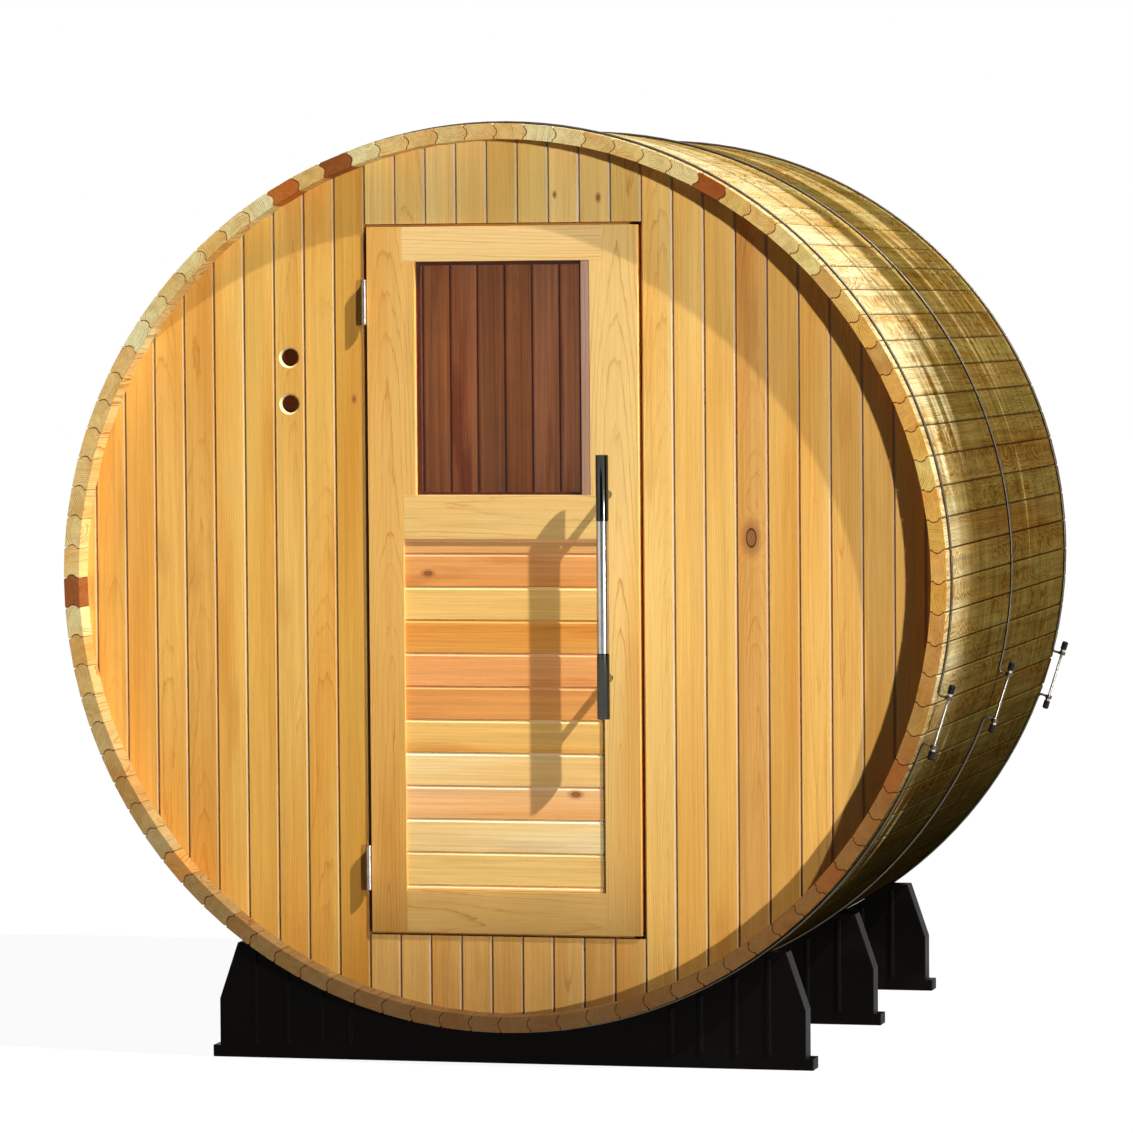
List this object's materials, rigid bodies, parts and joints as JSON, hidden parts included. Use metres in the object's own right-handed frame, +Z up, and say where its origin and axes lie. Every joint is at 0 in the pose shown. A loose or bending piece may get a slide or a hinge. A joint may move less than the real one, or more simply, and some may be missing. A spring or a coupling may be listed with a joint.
{
  "type": "barrel sauna",
  "caption": "Round staved timber sauna lying on curved cradles, with rod hoops, recessed end walls, a glazed hinged door with a bar handle, and vent holes beside it.",
  "frame": {"origin": "on the ground, under the centre of the box round the whole sauna", "axes": "+Z up, -Y towards the person facing the door wall, +X to that person's right; the barrel's axis runs along Y"},
  "size_m": [2.1523, 1.842, 2.223],
  "materials": {
    "shell_wood": "planed softwood staves, oiled",
    "wall_wood": "planed softwood boards",
    "door_wood": "planed pale softwood",
    "frame_wood": "planed softwood",
    "floor_wood": "planed softwood boards",
    "steel": "polished stainless steel",
    "cap_rubber": "black rubber",
    "cradle_plastic": "black moulded plastic",
    "window_glass": "clear toughened glass"
  },
  "bodies": {
    "hut": {"shell_upper_right_1": "shell_wood", "shell_upper_right_2": "shell_wood", "shell_upper_right_3": "shell_wood", "shell_lower_right_1": "shell_wood", "shell_lower_right_2": "shell_wood", "shell_lower_right_3": "shell_wood", "shell_lower_left_1": "shell_wood", "shell_lower_left_2": "shell_wood", "shell_lower_left_3": "shell_wood", "shell_upper_left_1": "shell_wood", "shell_upper_left_2": "shell_wood", "shell_upper_left_3": "shell_wood", "front_wall_left": "wall_wood", "front_wall_right": "wall_wood", "front_wall_over_door": "wall_wood", "front_wall_under_door": "wall_wood", "back_wall": "wall_wood", "door_jamb_left": "frame_wood", "door_jamb_right": "frame_wood", "door_head": "frame_wood", "door_sill": "frame_wood", "hinge_frame_leaves": "steel", "hoop_front": "steel", "hoop_middle": "steel", "hoop_rear": "steel", "tensioner_bolts": "steel", "tensioner_caps": "cap_rubber", "cradle_front": "cradle_plastic", "cradle_middle": "cradle_plastic", "cradle_rear": "cradle_plastic", "floor_boards": "floor_wood", "floor_bearers": "floor_wood"},
    "door": {"door_stile_left": "door_wood", "door_stile_right": "door_wood", "door_rail_top": "door_wood", "door_rail_middle": "door_wood", "door_rail_bottom": "door_wood", "door_window_strips": "door_wood", "door_glass": "window_glass", "door_panel": "door_wood", "handle_bar": "steel", "handle_ends": "steel", "handle_posts": "steel", "hinge_door_leaves": "steel"}
  },
  "joints": [
    {"name": "door_hinge", "type": "hinge", "parent": "hut", "child": "door", "pos_m": [-0.33175, -0.854, 1.1315], "axis": [0, 0, -1], "range_deg": [0, 110]}
  ]
}
